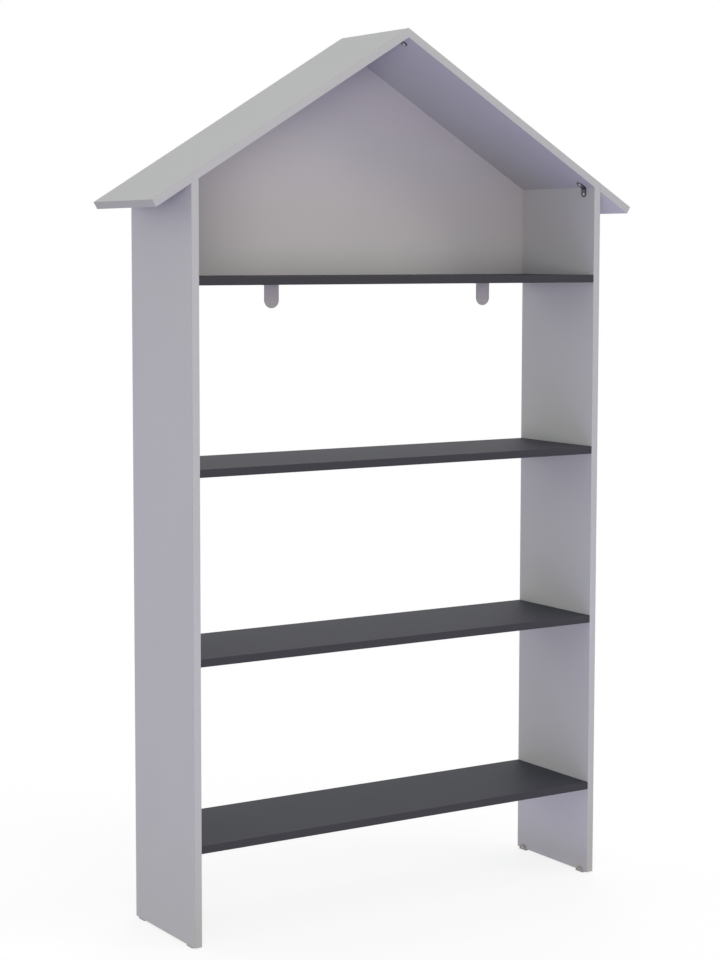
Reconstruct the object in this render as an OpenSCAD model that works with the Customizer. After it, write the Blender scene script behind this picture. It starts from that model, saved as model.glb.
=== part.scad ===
// House-shaped bookshelf: two side panels, four fixed shelves and a gable roof of chipboard,
// held together by concealed cam fittings, dowels and three bent steel brackets.
// The origin is on the floor, at the middle of the width and of the depth. +Z is up, +Y is the rear.

/* [Boards] */
// Width across the outer faces of the side panels
body_width = 990; // [800:1:1100]
// Depth of the boards from front edge to rear edge
board_depth = 250; // [200:1:400]
// Height of the ridge above the floor
ridge_height = 1800; // [1550:1:2100]
// Thickness of the chipboard
board_t = 16; // [16:0.5:22]
// Thickness of the plastic bands on the board edges
band_t = 0.8; // [0.4:0.1:2]
// Thickness of the fibreboard back
back_t = 3; // [2.5:0.1:6]
// How far the back stays inside the outline that it covers
back_margin = 3; // [1:0.5:6]

/* [Roof] */
// Slope of the roof, in degrees
roof_pitch = 31.1; // [25:0.1:36]
// How far the roof reaches past the side panels, measured level
eave_overhang = 83; // [30:1:150]

/* [Shelves] */
// Height of the bottom shelf's upper face above the floor
bottom_shelf_top = 204; // [120:1:240]
// How far the side panels stand above the top shelf. The other shelves are spread evenly below it
gable_wall = 186; // [150:1:240]

/* [Cam fittings] */
// Diameter of the cam housing
cam_d = 15; // [13:0.5:16]
// Height of the cam housing above the bolt's axis
cam_above = 4.5; // [4.2:0.1:5]
// Distance of the cam's axis from the shelf's end
cam_setback = 34; // [30:0.5:40]
// Distance of the cams from the front and rear edges
cam_inset = 37; // [30:1:50]
// Diameter of the bolt's shaft between the side panel and the cam
bolt_shaft_d = 6; // [5:0.1:7]
// Diameter of the bolt's thread in the side panel
bolt_thread_d = 5; // [4:0.1:6]
// Length of the bolt's thread
bolt_thread_l = 11; // [9:0.5:13]
// Diameter of the bolt's head inside the cam
bolt_head_d = 7; // [6:0.1:7.5]
// Length of the bolt's head
bolt_head_l = 4; // [3:0.1:5]
// Diameter of the bolt's neck behind the head
bolt_neck_d = 4; // [3:0.1:4.5]
// Diameter of the bolt's bore in the shelf's end
bolt_bore_d = 8; // [7.6:0.1:9]
// Depth of the driver cross in the cam
cam_cross_depth = 1.5; // [1:0.1:2]
// Length of each slot of the driver cross
cam_cross_l = 8; // [6:0.1:10]
// Width of each slot of the driver cross
cam_cross_w = 1.4; // [1:0.1:2]

/* [Dowels] */
// Diameter of the shelf dowels
dowel_d = 8; // [6:0.5:8]
// Length of a shelf dowel inside the shelf
dowel_in_shelf = 20; // [16:0.5:25]
// Length of a shelf dowel inside the side panel
dowel_in_side = 10; // [8:0.5:12]
// Distance of the shelf dowels from the front and rear edges
dowel_inset = 69; // [60:1:85]
// Diameter of the roof dowels
roof_dowel_d = 6; // [5:0.5:7]
// Length of a seat dowel inside the side panel
seat_dowel_in_side = 20; // [15:0.5:30]
// Length of a seat dowel inside the roof panel
seat_dowel_in_roof = 8; // [6:0.5:9]
// Distance of the seat dowels from the front and rear edges
seat_dowel_inset = 69; // [60:1:85]
// Length of the dowels across the ridge
ridge_dowel_l = 24; // [16:1:26]
// Distance of the outer ridge dowels from the front and rear edges
ridge_dowel_inset = 60; // [55:1:80]

/* [Brackets] */
// Width of the steel brackets
bracket_w = 14.5; // [12:0.5:20]
// Thickness of the steel brackets
bracket_t = 2; // [1.5:0.1:3]
// Inner radius of the bend
bracket_bend_r = 1.5; // [1:0.1:3]
// Leg length of the corner brackets, from the corner of the boards
corner_leg = 21; // [20:0.5:32]
// Leg length of the ridge bracket, from the corner of the boards
ridge_leg = 23.5; // [22:0.5:36]
// Distance of the corner brackets' middle from the front edge
corner_bracket_setback = 35; // [25:1:50]
// Distance of the ridge bracket's middle from the front edge
ridge_bracket_setback = 38; // [25:1:45]

/* [Screws] */
// Diameter of the screws' thread
screw_d = 3.5; // [3:0.1:4]
// Length of the screws under the head
screw_l = 13; // [11:0.5:14]
// Diameter of the screws' head
screw_head_d = 7; // [6:0.1:8]
// Height of the screws' head
screw_head_h = 2.4; // [2:0.1:3]
// Depth of the driver cross in the screws
screw_cross_depth = 1.4; // [1:0.1:1.6]
// Length of each slot of the screws' driver cross
screw_cross_l = 3.6; // [3:0.1:4.2]
// Width of each slot of the screws' driver cross
screw_cross_w = 0.8; // [0.6:0.1:1]

/* [Hanging tabs] */
// Width of the tabs under the top shelf
tab_w = 33; // [26:1:45]
// Thickness of the tabs, and height of the countersunk heads of their screws
tab_t = 2; // [1.6:0.1:3]
// How far the tabs hang below the shelf
tab_drop = 48; // [35:1:80]
// Length of the flange under the shelf
tab_flange_l = 28; // [24:1:45]
// Distance of the tabs' front face from the front edge
tab_setback = 100; // [70:1:120]
// Distance of the tabs' middle from the inner face of the side panel
tab_inset = 219; // [150:1:300]
// Distance between the two screws of a tab
tab_screw_gap = 18; // [12:0.5:20]

/* [Glides] */
// Thickness of the glide under the panel
glide_t = 3; // [2:0.1:4]
// Radius of the round cheek on the panel's inner face
glide_r = 11; // [10:0.5:15]
// Thickness of the cheek
glide_cheek_t = 3; // [2:0.1:4]
// Width of the raised rim on the cheek
glide_rim_w = 2.2; // [1.5:0.1:3]
// Height of the raised rim above the cheek
glide_rim_h = 1; // [0.5:0.1:1.5]
// Distance of the glides' middle from the front and rear edges
glide_inset = 23; // [18:1:40]
// Diameter of the glide's nail
glide_nail_d = 2; // [1.5:0.1:2.5]
// Length of the glide's nail inside the panel
glide_nail_l = 11; // [9:0.5:13]
// Diameter of the glide's nail head
glide_nail_head_d = 4.4; // [4:0.1:5]
// Height of the glide's nail head
glide_nail_head_h = 0.8; // [0.5:0.1:1]

/* [Back nails] */
// Diameter of the nails in the back
nail_d = 1.6; // [1.2:0.1:2]
// Length of the nails
nail_l = 20; // [16:1:30]
// Diameter of the nail heads, sunk flush in the back
nail_head_d = 4; // [3.5:0.1:5]
// Height of the nail heads
nail_head_h = 0.6; // [0.4:0.1:1]
// Distance of the end nails from the corners of the back
nail_end_gap = 50; // [40:1:60]
// Nails along the shelf
shelf_nails = 6; // [4:1:9]
// Nails along each roof panel
roof_nails = 4; // [3:1:6]
// Nails along each side panel
side_nails = 2; // [2:1:3]

/* [Fits] */
// Gap on each side of a fastener in its hole
hole_clear = 0.05; // [0.02:0.01:0.15]
// Gap around the cam housing and around the bolt's head
cam_clear = 0.15; // [0.05:0.05:0.3]
// Free depth beyond the end of each blind fastener
hole_spare = 0.5; // [0.3:0.1:1]

/* [Hidden] */
$fn = 64;
overlap = 1;

board_color = [0.70, 0.69, 0.73];
board_edge_color = [0.72, 0.71, 0.74];
shelf_color = [0.33, 0.34, 0.37];
shelf_edge_color = [0.26, 0.26, 0.28];
back_color = [0.64, 0.63, 0.63];
steel_color = [0.30, 0.29, 0.30];
zinc_color = [0.78, 0.78, 0.76];
wood_color = [0.80, 0.66, 0.46];
glide_color = [0.66, 0.64, 0.63];
tab_color = [0.60, 0.58, 0.62];

// Depth positions. The back lies behind the boards, and the origin is midway between the outer faces.
front_y = -(board_depth + back_t) / 2;
rear_y = front_y + board_depth;
core_depth = board_depth - 2 * band_t;

// Side panels
outer_x = body_width / 2;
inner_x = outer_x - board_t;
side_mid_x = outer_x - board_t / 2;
side_bottom = glide_t;
roof_drop = board_t / cos(roof_pitch);
function roof_under(x) = ridge_height - roof_drop - x * tan(roof_pitch);
function roof_top(x) = ridge_height - x * tan(roof_pitch);
side_top = roof_under(inner_x);
roof_len = (outer_x + eave_overhang) / cos(roof_pitch);

// Shelves, from the bottom one up
LEVELS = [0, 1, 2, 3];
TOP_LEVEL = 3;
shelf_w = 2 * inner_x;
shelf_step = (side_top - gable_wall - bottom_shelf_top) / TOP_LEVEL;
function shelf_top(i) = bottom_shelf_top + i * shelf_step;
function shelf_mid(i) = shelf_top(i) - board_t / 2;
top_shelf_under = shelf_top(TOP_LEVEL) - board_t;

// Cam housings. They start at the shelf's lower face, and the bolts run in the middle of the board.
cam_h = board_t / 2 + cam_above;
cam_pocket_d = norm([bolt_head_d, bolt_head_l]) + 2 * cam_clear;
cam_pocket_h = bolt_head_d + 2 * cam_clear;
// How far the neck's slot goes on past the bolt, in degrees
NECK_SLOT_PAST = 30;

// Diameters of the holes for the fasteners
function hole_for(d) = d + 2 * hole_clear;

// Rows of fittings along the depth
function front_and_rear(inset) = [front_y + inset, rear_y - inset];
cam_rows = front_and_rear(cam_inset);
dowel_rows = front_and_rear(dowel_inset);
seat_dowel_rows = front_and_rear(seat_dowel_inset);
glide_rows = front_and_rear(glide_inset);
ridge_dowel_rows = concat(front_and_rear(ridge_dowel_inset), [(front_y + rear_y) / 2]);

// The ridge dowels lie level, midway between the upper face at their ends and the lower edge of the mitre.
ridge_dowel_z = ridge_height - (roof_drop + ridge_dowel_l / 2 * tan(roof_pitch)) / 2;

// Down the right-hand slope of the roof, and straight into the room from its lower face, as [x, z]
SLOPE_RUN = [cos(roof_pitch), -sin(roof_pitch)];
SLOPE_IN = [-sin(roof_pitch), -cos(roof_pitch)];
function mirrored(v) = [-v[0], v[1]];

// Brackets and their screws. The round of a leg's end is a little larger than half of its width.
BEND_STEPS = 12;
END_ROUND_EXTRA = 0.4;
bracket_outer_r = bracket_bend_r + bracket_t;
bracket_end_r = bracket_w / 2 + END_ROUND_EXTRA;
corner_bracket_y = front_y + corner_bracket_setback;
ridge_bracket_y = front_y + ridge_bracket_setback;
corner_hole = corner_leg - bracket_w / 2;
ridge_hole = ridge_leg - bracket_w / 2;

// Hanging tabs
tab_x = inner_x - tab_inset;
tab_front_y = front_y + tab_setback;
tab_screw_y = tab_front_y + tab_t + (tab_flange_l - tab_t) / 2;
screw_hole_depth = screw_l + hole_spare;

// Glides. The nail sits midway between the pad and the rim of the cheek.
glide_nail_z = (glide_t + glide_r - glide_rim_w) / 2;

// Nails of the back, as [x, z]. Each row runs along the middle of the board behind it.
back_bottom = top_shelf_under + back_margin;
back_side_x = outer_x - back_margin;
function spread(a, b, n) = [for (i = [0 : n - 1]) a + (b - a) * i / (n - 1)];
shelf_nail_spots = [
    for (x = spread(-inner_x + nail_end_gap, inner_x - nail_end_gap, shelf_nails)) [x, shelf_mid(TOP_LEVEL)]
];
side_nail_spots = [
    for (z = spread(top_shelf_under + nail_end_gap, side_top - nail_end_gap, side_nails)) [side_mid_x, z]
];
roof_nail_spots = [
    for (x = spread(nail_end_gap, inner_x - nail_end_gap, roof_nails)) [x, (roof_under(x) + roof_top(x)) / 2]
];

// Draws its children as they are and mirrored across the middle of the width
module both_sides() {
    children();
    mirror([1, 0, 0]) children();
}

// A round bore or pin along X, from x0 to x1
module rod_x(x0, x1, y, z, d) {
    translate([x0, y, z]) rotate([0, 90, 0]) cylinder(h = x1 - x0, d = d);
}

// A round bore or pin along Z, from z0 to z1
module rod_z(x, y, z0, z1, d) {
    translate([x, y, z0]) cylinder(h = z1 - z0, d = d);
}

// A round bore or pin along Y, from y0 to y1
module rod_y(x, z, y0, y1, d) {
    translate([x, y0, z]) rotate([-90, 0, 0]) cylinder(h = y1 - y0, d = d);
}

// A plate with the given outline in X and Z, from y0 to y1
module slab_y(y0, y1, points) {
    translate([0, y1, 0]) rotate([90, 0, 0]) linear_extrude(y1 - y0) polygon(points);
}

// Places on the boards' corners, with +X along the board and +Z into it
module at_right_corner_on_side() {
    translate([inner_x, corner_bracket_y, side_top]) rotate([0, 90, 0]) children();
}
module at_right_corner_on_roof() {
    translate([inner_x, corner_bracket_y, side_top])
        rotate([0, roof_pitch, 0]) rotate([0, 0, 180]) children();
}
module at_ridge_on_right_roof() {
    translate([0, ridge_bracket_y, roof_under(0)]) rotate([0, roof_pitch, 0]) children();
}

// A pan-head screw that points up +Z, with the underside of its head at z = 0
module screw() {
    difference() {
        union() {
            cylinder(h = screw_l, d = screw_d);
            rotate_extrude() intersection() {
                translate([0, screw_head_r() - screw_head_h]) circle(r = screw_head_r());
                translate([0, -screw_head_h]) square([screw_head_d / 2, screw_head_h]);
            }
        }
        translate([0, 0, -screw_head_h]) screw_cross();
    }
}
// Radius of the round that gives the head its height and diameter
function screw_head_r() = (pow(screw_head_d / 2, 2) + pow(screw_head_h, 2)) / (2 * screw_head_h);

// A countersunk screw that points up +Z, with the flat of its head at z = 0
module countersunk_screw() {
    difference() {
        union() {
            cylinder(h = screw_l, d = screw_d);
            cylinder(h = tab_t, d1 = screw_head_d, d2 = screw_d);
        }
        screw_cross();
    }
}

// The hole through a tab for a countersunk screw, with its taper run on past both faces
module countersunk_hole() {
    taper = (screw_head_d - screw_d) / tab_t;
    translate([0, 0, -overlap])
        cylinder(h = tab_t + 2 * overlap,
            d1 = hole_for(screw_head_d) + taper * overlap,
            d2 = hole_for(screw_d) - taper * overlap);
}

// A driver cross cut upwards from z = 0
module driver_cross(length, width, depth) {
    for (turn = [0, 90])
        rotate([0, 0, turn]) translate([-length / 2, -width / 2, -overlap])
            cube([length, width, depth + overlap]);
}
module screw_cross() {
    driver_cross(screw_cross_l, screw_cross_w, screw_cross_depth);
}

// The hole for a screw's thread, entered at z = 0
module screw_bore() {
    translate([0, 0, -overlap]) cylinder(h = overlap + screw_hole_depth, d = hole_for(screw_d));
}

// The screws of a bracket bear on its inner face
module bracket_screw_at(along) {
    translate([along, 0, -bracket_t]) children();
}

module nail_bores(spots) {
    for (s = spots)
        rod_y(s[0], s[1], rear_y + back_t - nail_l - hole_spare, rear_y + overlap, hole_for(nail_d));
}

// The side panels

module side_bores() {
    for (i = LEVELS) {
        for (y = cam_rows)
            rod_x(inner_x - overlap, inner_x + bolt_thread_l + hole_spare, y, shelf_mid(i),
                hole_for(bolt_thread_d));
        for (y = dowel_rows)
            rod_x(inner_x - overlap, inner_x + dowel_in_side + hole_spare, y, shelf_mid(i),
                hole_for(dowel_d));
    }
    for (y = seat_dowel_rows)
        rod_z(side_mid_x, y, side_top - seat_dowel_in_side - hole_spare, side_top + overlap,
            hole_for(roof_dowel_d));
    for (y = glide_rows)
        rod_x(inner_x - overlap, inner_x + glide_nail_l + hole_spare, y, glide_nail_z,
            hole_for(glide_nail_d));
    at_right_corner_on_side() bracket_screw_at(corner_hole) screw_bore();
    nail_bores(side_nail_spots);
}

module side_core() {
    difference() {
        translate([inner_x, front_y + band_t, side_bottom])
            cube([board_t, core_depth, side_top - side_bottom]);
        side_bores();
    }
}

module side_bands() {
    difference() {
        for (y = [front_y, rear_y - band_t])
            translate([inner_x, y, side_bottom]) cube([board_t, band_t, side_top - side_bottom]);
        nail_bores(side_nail_spots);
    }
}

module right_side_panel() {
    color(board_color) side_core();
}
module left_side_panel() {
    color(board_color) mirror([1, 0, 0]) side_core();
}
module right_side_bands() {
    color(board_edge_color) side_bands();
}
module left_side_bands() {
    color(board_edge_color) mirror([1, 0, 0]) side_bands();
}

// The roof panels

// Outline of a roof panel that is len long, seen from the front: mitred at the ridge, square at the eave,
// with a level seat cut into its lower face for the top of the side panel
function roof_outline(len) = [
    [0, ridge_height],
    [0, roof_under(0)],
    [inner_x, side_top],
    [outer_x, side_top],
    [outer_x, roof_under(outer_x)],
    eave_point(len, board_t),
    eave_point(len, 0)
];
function eave_point(len, down) = [
    len * cos(roof_pitch) - down * sin(roof_pitch),
    ridge_height - len * sin(roof_pitch) - down * cos(roof_pitch)
];

module roof_bores() {
    for (y = seat_dowel_rows)
        rod_z(side_mid_x, y, side_top - overlap, side_top + seat_dowel_in_roof + hole_spare,
            hole_for(roof_dowel_d));
    for (y = ridge_dowel_rows)
        rod_x(-overlap, ridge_dowel_l / 2 + hole_spare, y, ridge_dowel_z, hole_for(roof_dowel_d));
    at_right_corner_on_roof() bracket_screw_at(corner_hole) screw_bore();
    at_ridge_on_right_roof() bracket_screw_at(ridge_hole) screw_bore();
    nail_bores(roof_nail_spots);
}

module roof_core() {
    difference() {
        slab_y(front_y + band_t, rear_y - band_t, roof_outline(roof_len - band_t));
        roof_bores();
    }
}

module roof_bands() {
    difference() {
        for (y = [front_y, rear_y - band_t])
            slab_y(y, y + band_t, roof_outline(roof_len));
        nail_bores(roof_nail_spots);
    }
    slab_y(front_y + band_t, rear_y - band_t, [
        eave_point(roof_len - band_t, 0), eave_point(roof_len - band_t, board_t),
        eave_point(roof_len, board_t), eave_point(roof_len, 0)
    ]);
}

module right_roof_panel() {
    color(board_color) roof_core();
}
module left_roof_panel() {
    color(board_color) mirror([1, 0, 0]) roof_core();
}
module right_roof_bands() {
    color(board_edge_color) roof_bands();
}
module left_roof_bands() {
    color(board_edge_color) mirror([1, 0, 0]) roof_bands();
}

// The shelves

module shelf_bores(i) {
    both_sides() for (y = cam_rows) {
        rod_z(inner_x - cam_setback, y, shelf_top(i) - board_t - overlap,
            shelf_top(i) - board_t + cam_h + hole_spare, cam_d + 2 * cam_clear);
        rod_x(inner_x - cam_setback, inner_x + overlap, y, shelf_mid(i), bolt_bore_d);
    }
    both_sides() for (y = dowel_rows)
        rod_x(inner_x - dowel_in_shelf - hole_spare, inner_x + overlap, y, shelf_mid(i),
            hole_for(dowel_d));
}

module shelf(i) {
    color(shelf_color) difference() {
        translate([-inner_x, front_y + band_t, shelf_top(i) - board_t]) cube([shelf_w, core_depth, board_t]);
        shelf_bores(i);
        if (i == TOP_LEVEL) {
            nail_bores(shelf_nail_spots);
            both_sides() at_tab_screws() screw_bore();
        }
    }
}

module shelf_bands(i) {
    color(shelf_edge_color) difference() {
        for (y = [front_y, rear_y - band_t])
            translate([-inner_x, y, shelf_top(i) - board_t]) cube([shelf_w, band_t, board_t]);
        if (i == TOP_LEVEL) nail_bores(shelf_nail_spots);
    }
}

// The gable back

module gable_back() {
    slope_shift = back_margin / cos(roof_pitch);
    color(back_color) difference() {
        slab_y(rear_y, rear_y + back_t, [
            [-back_side_x, back_bottom],
            [back_side_x, back_bottom],
            [back_side_x, roof_top(back_side_x) - slope_shift],
            [0, ridge_height - slope_shift],
            [-back_side_x, roof_top(back_side_x) - slope_shift]
        ]);
        for (s = shelf_nail_spots) back_nail_hole(s);
        both_sides() for (s = concat(side_nail_spots, roof_nail_spots)) back_nail_hole(s);
    }
}
module back_nail_hole(s) {
    rod_y(s[0], s[1], rear_y - overlap, rear_y + back_t + overlap, hole_for(nail_d));
    rod_y(s[0], s[1], rear_y + back_t - nail_head_h, rear_y + back_t + overlap, hole_for(nail_head_d));
}

module nail(s) {
    rod_y(s[0], s[1], rear_y + back_t - nail_l, rear_y + back_t - nail_head_h / 2, nail_d);
    rod_y(s[0], s[1], rear_y + back_t - nail_head_h, rear_y + back_t, nail_head_d);
}
module gable_back_nails() {
    color(zinc_color) {
        for (s = shelf_nail_spots) nail(s);
        both_sides() for (s = concat(side_nail_spots, roof_nail_spots)) nail(s);
    }
}

// The cam fittings

// A cam housing with its axis on z = 0 at the bolt's height. The bolt comes in along +X.
// The head sits in a closed pocket, and the neck passes through a slot in the wall.
module cam_housing() {
    below = board_t / 2;
    neck_slot_h = bolt_neck_d + 2 * cam_clear;
    difference() {
        translate([0, 0, -below]) cylinder(h = cam_h, d = cam_d);
        translate([0, 0, -cam_pocket_h / 2]) cylinder(h = cam_pocket_h, d = cam_pocket_d);
        rotate([0, 0, 180]) rod_x(0, cam_d, 0, 0, cam_pocket_h);
        rotate([0, 0, -NECK_SLOT_PAST]) rotate_extrude(angle = 180 + NECK_SLOT_PAST)
            translate([cam_pocket_d / 2 - overlap, -neck_slot_h / 2]) square([cam_d, neck_slot_h]);
        translate([0, 0, -below]) driver_cross(cam_cross_l, cam_cross_w, cam_cross_depth);
    }
}

module shelf_cams(i) {
    color(zinc_color) both_sides() for (y = cam_rows)
        translate([inner_x - cam_setback, y, shelf_mid(i)]) cam_housing();
}

module cam_bolt(y, z) {
    head_x = inner_x - cam_setback - bolt_head_l / 2;
    rod_x(inner_x, inner_x + bolt_thread_l, y, z, bolt_thread_d);
    rod_x(inner_x - cam_setback + cam_d / 2 + overlap, inner_x, y, z, bolt_shaft_d);
    rod_x(head_x, inner_x, y, z, bolt_neck_d);
    rod_x(head_x, head_x + bolt_head_l, y, z, bolt_head_d);
}

module shelf_cam_bolts(i) {
    color(zinc_color) both_sides() for (y = cam_rows) cam_bolt(y, shelf_mid(i));
}

// The dowels

module shelf_dowels(i) {
    color(wood_color) both_sides() for (y = dowel_rows)
        rod_x(inner_x - dowel_in_shelf, inner_x + dowel_in_side, y, shelf_mid(i), dowel_d);
}

module roof_seat_dowels() {
    color(wood_color) both_sides() for (y = seat_dowel_rows)
        rod_z(side_mid_x, y, side_top - seat_dowel_in_side, side_top + seat_dowel_in_roof, roof_dowel_d);
}

module ridge_dowels() {
    color(wood_color) for (y = ridge_dowel_rows)
        rod_x(-ridge_dowel_l / 2, ridge_dowel_l / 2, y, ridge_dowel_z, roof_dowel_d);
}

// The steel brackets

// A bent strip, seen from the front, with the boards' corner at the origin. Each leg is given as
// [the way it runs, the way its thickness goes]. The bend's middle is mid, from angle a0 through turn.
// The strip is cut long, and its ends are trimmed afterwards.
module bent_strip(leg_a, leg_b, finished_len, mid, a0, turn) {
    len = finished_len + overlap;
    slab_y(-bracket_w / 2, bracket_w / 2, concat(
        [len * leg_a[0]],
        bend_points(mid, bracket_outer_r, a0, turn, 1),
        [len * leg_b[0], len * leg_b[0] + bracket_t * leg_b[1]],
        bend_points(mid, bracket_bend_r, a0, turn, -1),
        [len * leg_a[0] + bracket_t * leg_a[1]]
    ));
}
// Points along the bend, from its start to its end, or back again where way is -1
function bend_points(mid, r, a0, turn, way) = [
    for (k = [0 : BEND_STEPS])
        let (part = way > 0 ? k : BEND_STEPS - k, a = a0 + turn * part / BEND_STEPS)
        mid + r * [cos(a), sin(a)]
];

// Rounds a leg's end and drills its screw hole, with the leg along +X below z = 0.
// The round is a little wider than the leg, so that it crosses the leg's sides at an angle.
module leg_cuts(len) {
    translate([0, 0, -bracket_t - overlap]) linear_extrude(bracket_t + 2 * overlap) {
        difference() {
            translate([len - bracket_end_r, -bracket_end_r - overlap])
                square([bracket_end_r + 2 * overlap, 2 * (bracket_end_r + overlap)]);
            translate([len - bracket_end_r, 0]) circle(r = bracket_end_r);
        }
        translate([len - bracket_w / 2, 0]) circle(d = hole_for(screw_d));
    }
}

module corner_bracket() {
    turn = 90 - roof_pitch;
    start = bracket_outer_r * tan(turn / 2);
    difference() {
        translate([inner_x, corner_bracket_y, side_top])
            bent_strip([[0, -1], [-1, 0]], [-SLOPE_RUN, SLOPE_IN], corner_leg,
                [-bracket_outer_r, -start], 0, turn);
        at_right_corner_on_side() leg_cuts(corner_leg);
        at_right_corner_on_roof() leg_cuts(corner_leg);
    }
}
module right_corner_bracket() {
    color(steel_color) corner_bracket();
}
module left_corner_bracket() {
    color(steel_color) mirror([1, 0, 0]) corner_bracket();
}
module ridge_bracket() {
    color(steel_color) difference() {
        translate([0, ridge_bracket_y, roof_under(0)])
            bent_strip([SLOPE_RUN, SLOPE_IN], [mirrored(SLOPE_RUN), mirrored(SLOPE_IN)], ridge_leg,
                [0, -bracket_outer_r / cos(roof_pitch)], 90 - roof_pitch, 2 * roof_pitch);
        both_sides() at_ridge_on_right_roof() leg_cuts(ridge_leg);
    }
}
module bracket_screws() {
    color(zinc_color) both_sides() {
        at_right_corner_on_side() bracket_screw_at(corner_hole) screw();
        at_right_corner_on_roof() bracket_screw_at(corner_hole) screw();
        at_ridge_on_right_roof() bracket_screw_at(ridge_hole) screw();
    }
}

// The hanging tabs

module at_tab_screws() {
    for (side = [-1, 1])
        translate([tab_x + side * tab_screw_gap / 2, tab_screw_y, top_shelf_under - tab_t]) children();
}

module tab_outline() {
    translate([-tab_w / 2, -tab_drop + tab_w / 2]) square([tab_w, tab_drop - tab_w / 2]);
    translate([0, -tab_drop + tab_w / 2]) circle(d = tab_w);
}

module hanging_tab() {
    difference() {
        union() {
            translate([tab_x, tab_front_y + tab_t, top_shelf_under])
                rotate([90, 0, 0]) linear_extrude(tab_t) tab_outline();
            translate([tab_x - tab_w / 2, tab_front_y, top_shelf_under - tab_t])
                cube([tab_w, tab_flange_l, tab_t]);
        }
        at_tab_screws() countersunk_hole();
    }
}
module right_hanging_tab() {
    color(tab_color) hanging_tab();
}
module left_hanging_tab() {
    color(tab_color) mirror([1, 0, 0]) hanging_tab();
}
module hanging_tab_screws() {
    color(zinc_color) both_sides() at_tab_screws() countersunk_screw();
}

// The glides

// A glide under the right side panel: a pad below the board and a round cheek on its inner face
module glide(y) {
    rim_t = glide_cheek_t + glide_rim_h;
    color(glide_color) difference() {
        union() {
            intersection() {
                union() {
                    rod_x(inner_x - glide_cheek_t, inner_x, y, 0, 2 * glide_r);
                    difference() {
                        rod_x(inner_x - rim_t, inner_x, y, 0, 2 * glide_r);
                        rod_x(inner_x - rim_t - overlap, inner_x, y, 0, 2 * (glide_r - glide_rim_w));
                    }
                }
                translate([inner_x - rim_t, y - glide_r, 0]) cube([rim_t, 2 * glide_r, glide_r]);
            }
            translate([inner_x - glide_cheek_t, y - glide_r, 0])
                cube([board_t + glide_cheek_t, 2 * glide_r, glide_t]);
        }
        rod_x(inner_x - rim_t - overlap, inner_x + overlap, y, glide_nail_z, hole_for(glide_nail_d));
    }
}
module front_right_glide() {
    glide(glide_rows[0]);
}
module rear_right_glide() {
    glide(glide_rows[1]);
}
module front_left_glide() {
    mirror([1, 0, 0]) glide(glide_rows[0]);
}
module rear_left_glide() {
    mirror([1, 0, 0]) glide(glide_rows[1]);
}

module glide_nails() {
    head_x = inner_x - glide_cheek_t;
    color(zinc_color) both_sides() for (y = glide_rows) {
        rod_x(head_x, inner_x + glide_nail_l, y, glide_nail_z, glide_nail_d);
        rod_x(head_x - glide_nail_head_h, head_x, y, glide_nail_z, glide_nail_head_d);
    }
}

left_side_panel();
right_side_panel();
left_side_bands();
right_side_bands();
left_roof_panel();
right_roof_panel();
left_roof_bands();
right_roof_bands();
shelf(3);  // top_shelf
shelf(2);  // upper_shelf
shelf(1);  // lower_shelf
shelf(0);  // bottom_shelf
shelf_bands(3);  // top_shelf_bands
shelf_bands(2);  // upper_shelf_bands
shelf_bands(1);  // lower_shelf_bands
shelf_bands(0);  // bottom_shelf_bands
gable_back();
gable_back_nails();
shelf_cams(3);  // top_shelf_cams
shelf_cams(2);  // upper_shelf_cams
shelf_cams(1);  // lower_shelf_cams
shelf_cams(0);  // bottom_shelf_cams
shelf_cam_bolts(3);  // top_shelf_cam_bolts
shelf_cam_bolts(2);  // upper_shelf_cam_bolts
shelf_cam_bolts(1);  // lower_shelf_cam_bolts
shelf_cam_bolts(0);  // bottom_shelf_cam_bolts
shelf_dowels(3);  // top_shelf_dowels
shelf_dowels(2);  // upper_shelf_dowels
shelf_dowels(1);  // lower_shelf_dowels
shelf_dowels(0);  // bottom_shelf_dowels
roof_seat_dowels();
ridge_dowels();
left_corner_bracket();
right_corner_bracket();
ridge_bracket();
bracket_screws();
left_hanging_tab();
right_hanging_tab();
hanging_tab_screws();
front_left_glide();
front_right_glide();
rear_left_glide();
rear_right_glide();
glide_nails();
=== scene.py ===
import math

import bmesh
import bpy
from bpy.props import FloatProperty, FloatVectorProperty, PointerProperty
from mathutils import Matrix, Vector


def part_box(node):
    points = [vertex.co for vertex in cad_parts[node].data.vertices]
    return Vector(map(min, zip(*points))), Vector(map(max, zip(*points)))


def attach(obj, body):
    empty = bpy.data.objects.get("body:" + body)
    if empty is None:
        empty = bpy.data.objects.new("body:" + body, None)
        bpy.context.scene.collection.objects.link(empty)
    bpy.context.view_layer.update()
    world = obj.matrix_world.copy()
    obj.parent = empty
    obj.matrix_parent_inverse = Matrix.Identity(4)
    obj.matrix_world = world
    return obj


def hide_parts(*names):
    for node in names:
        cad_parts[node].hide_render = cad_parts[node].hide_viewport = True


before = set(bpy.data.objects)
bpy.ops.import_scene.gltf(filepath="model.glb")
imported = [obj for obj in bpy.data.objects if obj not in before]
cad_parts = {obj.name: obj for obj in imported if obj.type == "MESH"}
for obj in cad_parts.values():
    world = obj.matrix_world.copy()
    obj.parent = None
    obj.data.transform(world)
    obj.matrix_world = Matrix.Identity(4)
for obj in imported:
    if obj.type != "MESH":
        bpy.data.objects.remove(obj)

bl_info = {
    "name": "House-shaped bookshelf",
    "version": (1, 0, 0),
    "blender": (4, 5, 0),
    "location": "View3D > Sidebar > Bookshelf",
    "description": "Finishes the boards, bands, fittings and glides of a house-shaped bookshelf",
    "category": "Object",
}

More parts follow.
